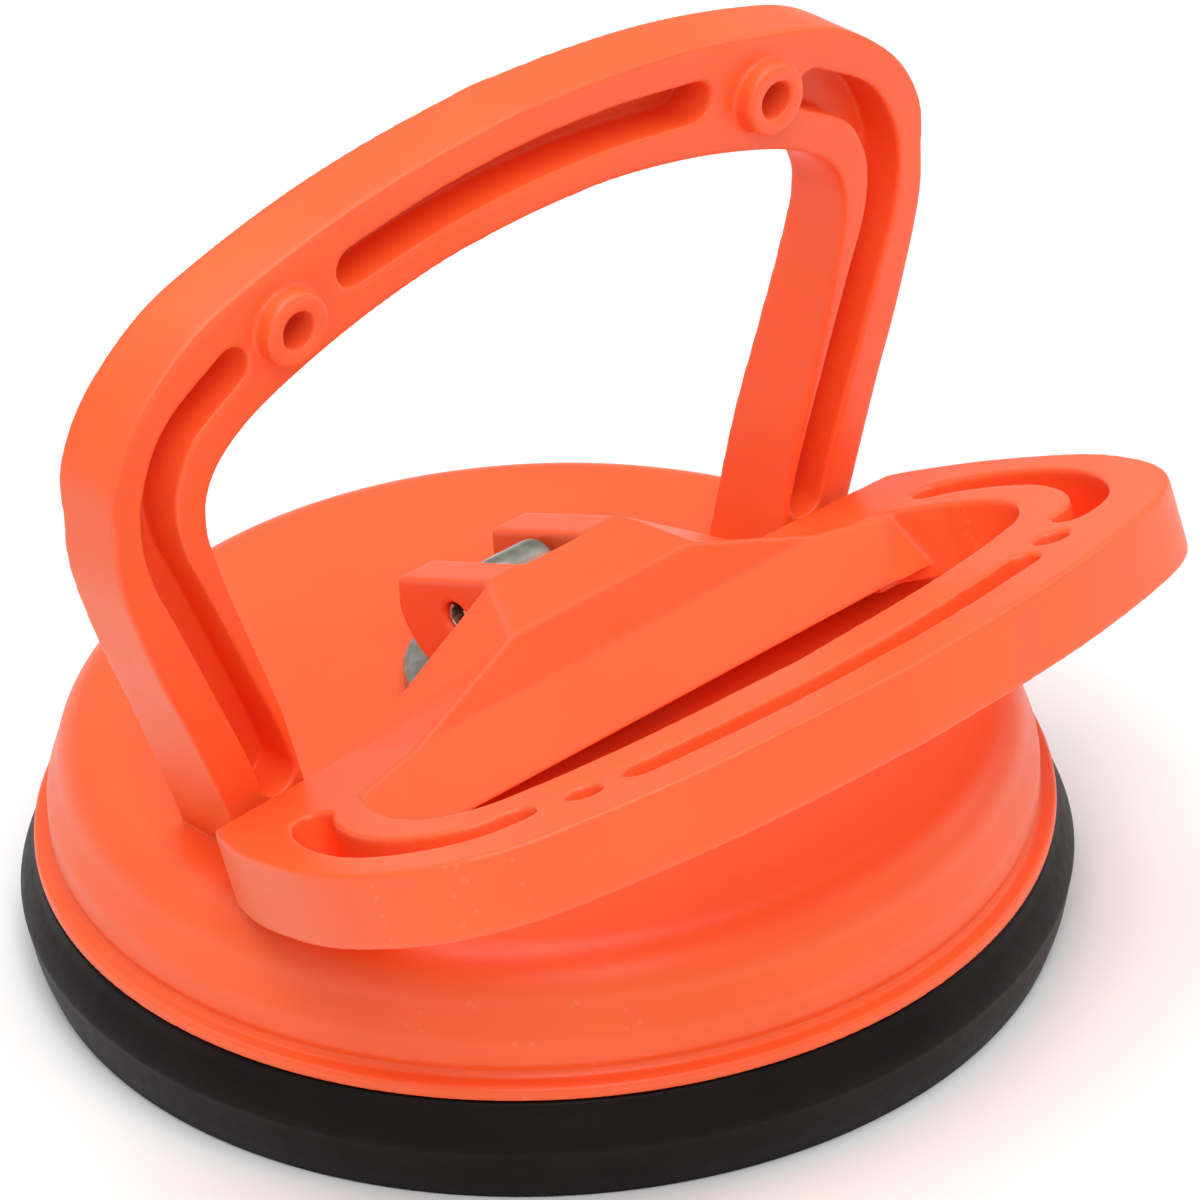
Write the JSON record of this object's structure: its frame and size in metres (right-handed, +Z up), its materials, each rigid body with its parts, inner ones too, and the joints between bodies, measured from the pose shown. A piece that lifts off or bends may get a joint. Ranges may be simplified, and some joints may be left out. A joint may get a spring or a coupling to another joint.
{
  "type": "vacuum suction cup",
  "caption": "Round hand-held vacuum suction cup with a fixed loop handle and a single tilting lever that draws the rubber up to hold a flat surface.",
  "frame": {"origin": "on the cup's axis at the plane of the suction lip", "axes": "+Z up along the cup's axis, X along the hinge pin and the handle's span, -Y towards the lever's free end"},
  "size_m": [0.1182, 0.1196, 0.1008],
  "materials": {
    "shell_plastic": "satin moulded ABS",
    "lever_plastic": "satin moulded ABS",
    "rubber": "matt moulded rubber",
    "plate_steel": "zinc plated, satin",
    "stud_steel": "zinc plated, bright",
    "washer_steel": "zinc plated, satin"
  },
  "bodies": {
    "housing": {"housing": "shell_plastic", "thrust_washer": "washer_steel", "rubber_cup": "rubber"},
    "pull": {"pull_stud": "stud_steel", "pull_plate": "plate_steel", "hinge_pin": "stud_steel"},
    "lever": {"lever": "lever_plastic"}
  },
  "joints": [
    {"name": "pull_slide", "type": "slide", "parent": "housing", "child": "pull", "axis": [0, 0, 1], "range_m": [0, 0.0012]},
    {"name": "lever_hinge", "type": "hinge", "parent": "pull", "child": "lever", "pos_m": [0, 0.0022, 0.0402], "axis": [-1, 0, 0], "range_deg": [0, 68.5]}
  ],
  "couplings": [
    {"joint": "pull_slide", "follows": "lever_hinge", "m_per_rad": 0.001004}
  ]
}
